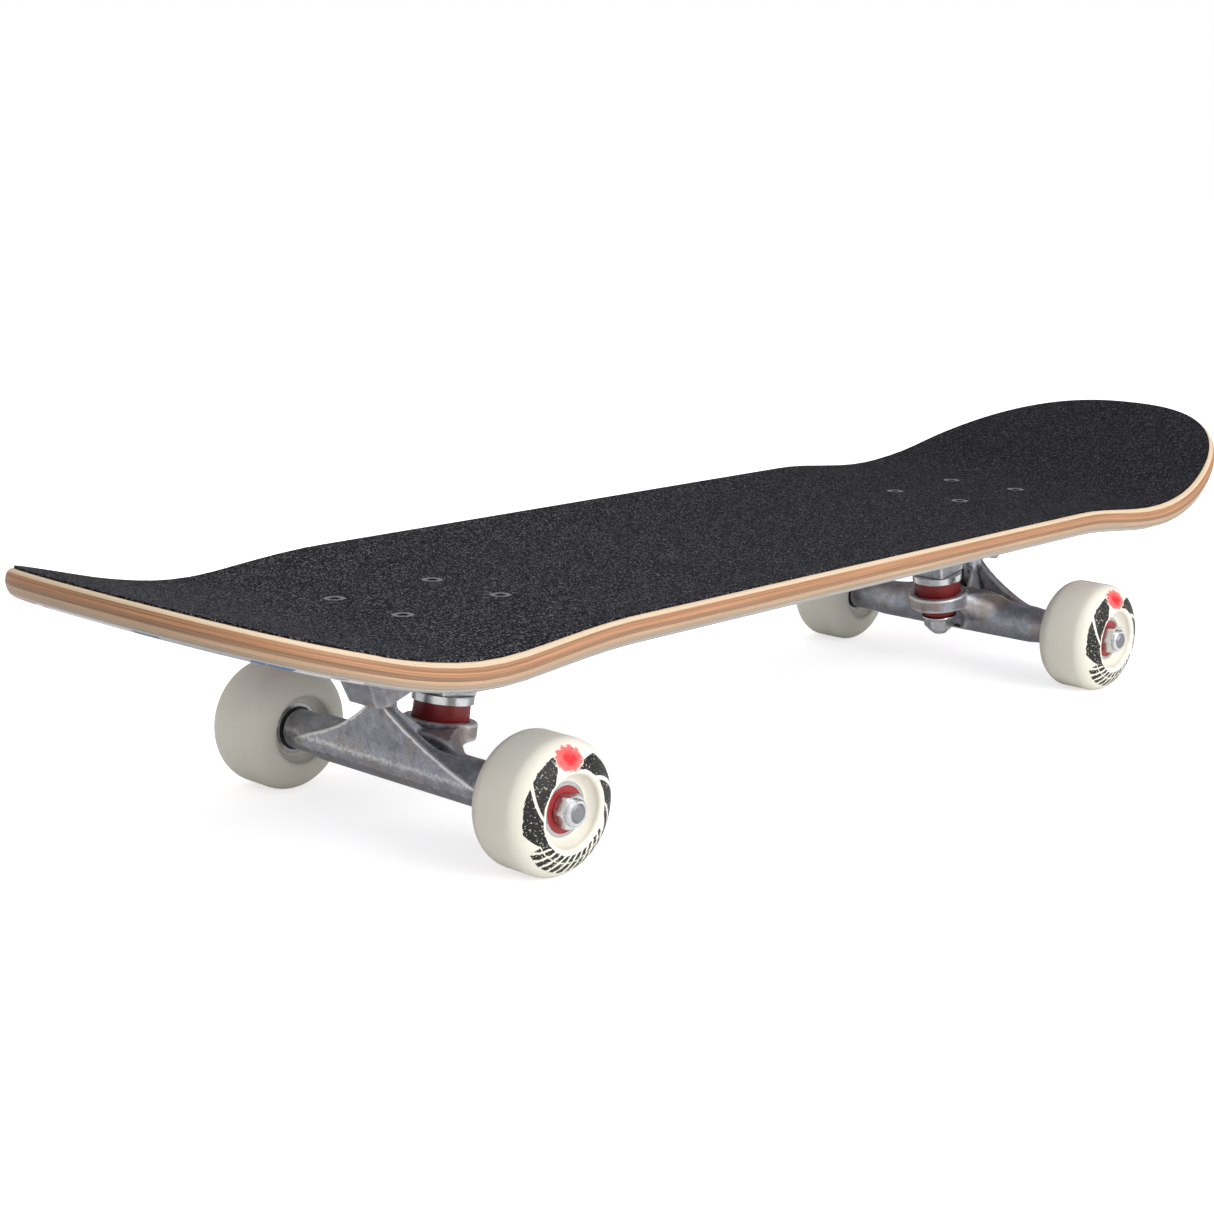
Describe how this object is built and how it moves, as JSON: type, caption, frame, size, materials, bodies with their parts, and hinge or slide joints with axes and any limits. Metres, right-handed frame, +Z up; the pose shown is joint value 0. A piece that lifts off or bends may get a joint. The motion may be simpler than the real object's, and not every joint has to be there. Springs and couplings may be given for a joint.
{
  "type": "skateboard",
  "caption": "Skateboard with a laminated, kicked and concave deck, black grip tape, kingpin trucks with squash bushings, and cream wheels on ball bearings.",
  "frame": {"origin": "on the ground, under the middle of the deck's outline and of the wheels' track", "axes": "+X towards the nose, +Y towards the rider's left when facing the nose, +Z up"},
  "size_m": [0.7394, 0.2014, 0.1286],
  "materials": {
    "veneer_bottom": "bottom maple veneer with a coloured film, satin",
    "veneer_natural": "natural maple, satin",
    "veneer_tan": "tan-dyed maple, satin",
    "veneer_red": "salmon-red dyed maple, satin",
    "grip": "black abrasive grit on film, rough",
    "bolt_steel": "dark grey coated steel, flat heads",
    "zinc_steel": "bright zinc plate",
    "cast_aluminium": "raw tumbled casting, mid-grey",
    "pivot_cup": "dark moulded urethane",
    "bushing": "dark maroon urethane, satin",
    "axle_steel": "plain steel, dull",
    "wheel": "cream urethane, satin, with a black and red print on its outer face",
    "bearing_steel": "ground bearing steel",
    "seal": "red bearing shield",
    "ball_steel": "polished balls",
    "cage": "natural nylon"
  },
  "bodies": {
    "deck": {"deck_veneer_1": "veneer_bottom", "deck_veneer_2": "veneer_tan", "deck_veneer_3": "veneer_natural", "deck_veneer_4": "veneer_natural", "deck_veneer_5": "veneer_red", "deck_veneer_6": "veneer_tan", "deck_veneer_7": "veneer_natural", "grip_tape": "grip", "mounting_bolts": "bolt_steel", "mounting_nuts": "zinc_steel", "front_baseplate": "cast_aluminium", "front_pivot_cup": "pivot_cup", "front_kingpin": "zinc_steel", "front_kingpin_nut": "zinc_steel", "front_large_cup_washer": "zinc_steel", "front_small_cup_washer": "zinc_steel", "front_boardside_bushing": "bushing", "front_roadside_bushing": "bushing", "rear_baseplate": "cast_aluminium", "rear_pivot_cup": "pivot_cup", "rear_kingpin": "zinc_steel", "rear_kingpin_nut": "zinc_steel", "rear_large_cup_washer": "zinc_steel", "rear_small_cup_washer": "zinc_steel", "rear_boardside_bushing": "bushing", "rear_roadside_bushing": "bushing"},
    "front_steering": {"front_hanger": "cast_aluminium", "front_axle": "axle_steel", "front_axle_nuts": "zinc_steel", "front_speed_washers": "zinc_steel", "front_bearing_inner_rings": "bearing_steel", "front_bearing_spacers": "bearing_steel"},
    "front_left_rolling_wheel": {"front_left_wheel": "wheel", "front_left_bearing_outer_rings": "bearing_steel", "front_left_bearing_seals": "seal"},
    "front_left_ball_sets": {"front_left_bearing_balls": "ball_steel", "front_left_ball_cages": "cage"},
    "front_right_rolling_wheel": {"front_right_wheel": "wheel", "front_right_bearing_outer_rings": "bearing_steel", "front_right_bearing_seals": "seal"},
    "front_right_ball_sets": {"front_right_bearing_balls": "ball_steel", "front_right_ball_cages": "cage"},
    "rear_steering": {"rear_hanger": "cast_aluminium", "rear_axle": "axle_steel", "rear_axle_nuts": "zinc_steel", "rear_speed_washers": "zinc_steel", "rear_bearing_inner_rings": "bearing_steel", "rear_bearing_spacers": "bearing_steel"},
    "rear_left_rolling_wheel": {"rear_left_wheel": "wheel", "rear_left_bearing_outer_rings": "bearing_steel", "rear_left_bearing_seals": "seal"},
    "rear_left_ball_sets": {"rear_left_bearing_balls": "ball_steel", "rear_left_ball_cages": "cage"},
    "rear_right_rolling_wheel": {"rear_right_wheel": "wheel", "rear_right_bearing_outer_rings": "bearing_steel", "rear_right_bearing_seals": "seal"},
    "rear_right_ball_sets": {"rear_right_bearing_balls": "ball_steel", "rear_right_ball_cages": "cage"}
  },
  "joints": [
    {"name": "front_steer", "type": "hinge", "parent": "deck", "child": "front_steering", "pos_m": [0.20301, 0, 0.064], "axis": [0.7761, 0, 0.6306], "range_deg": [-14, 14], "stiffness_Nm_per_rad": 45, "deforming": ["front_boardside_bushing", "front_roadside_bushing"]},
    {"name": "front_left_wheel_spin", "type": "hinge", "parent": "front_steering", "child": "front_left_rolling_wheel", "pos_m": [0.19151, 0, 0.028], "axis": [0, 1, 0], "continuous": true},
    {"name": "front_left_ball_spin", "type": "hinge", "parent": "front_steering", "child": "front_left_ball_sets", "pos_m": [0.19151, 0, 0.028], "axis": [0, 1, 0], "continuous": true},
    {"name": "front_right_wheel_spin", "type": "hinge", "parent": "front_steering", "child": "front_right_rolling_wheel", "pos_m": [0.19151, 0, 0.028], "axis": [0, 1, 0], "continuous": true},
    {"name": "front_right_ball_spin", "type": "hinge", "parent": "front_steering", "child": "front_right_ball_sets", "pos_m": [0.19151, 0, 0.028], "axis": [0, 1, 0], "continuous": true},
    {"name": "rear_steer", "type": "hinge", "parent": "deck", "child": "rear_steering", "pos_m": [-0.22956, 0, 0.064], "axis": [-0.7761, 0, 0.6306], "range_deg": [-14, 14], "stiffness_Nm_per_rad": 45, "deforming": ["rear_boardside_bushing", "rear_roadside_bushing"]},
    {"name": "rear_left_wheel_spin", "type": "hinge", "parent": "rear_steering", "child": "rear_left_rolling_wheel", "pos_m": [-0.21806, 0, 0.028], "axis": [0, 1, 0], "continuous": true},
    {"name": "rear_left_ball_spin", "type": "hinge", "parent": "rear_steering", "child": "rear_left_ball_sets", "pos_m": [-0.21806, 0, 0.028], "axis": [0, 1, 0], "continuous": true},
    {"name": "rear_right_wheel_spin", "type": "hinge", "parent": "rear_steering", "child": "rear_right_rolling_wheel", "pos_m": [-0.21806, 0, 0.028], "axis": [0, 1, 0], "continuous": true},
    {"name": "rear_right_ball_spin", "type": "hinge", "parent": "rear_steering", "child": "rear_right_ball_sets", "pos_m": [-0.21806, 0, 0.028], "axis": [0, 1, 0], "continuous": true}
  ],
  "couplings": [
    {"joint": "front_left_ball_spin", "follows": "front_left_wheel_spin", "ratio": 0.6323},
    {"joint": "front_right_ball_spin", "follows": "front_right_wheel_spin", "ratio": 0.6323},
    {"joint": "rear_left_ball_spin", "follows": "rear_left_wheel_spin", "ratio": 0.6323},
    {"joint": "rear_right_ball_spin", "follows": "rear_right_wheel_spin", "ratio": 0.6323}
  ]
}
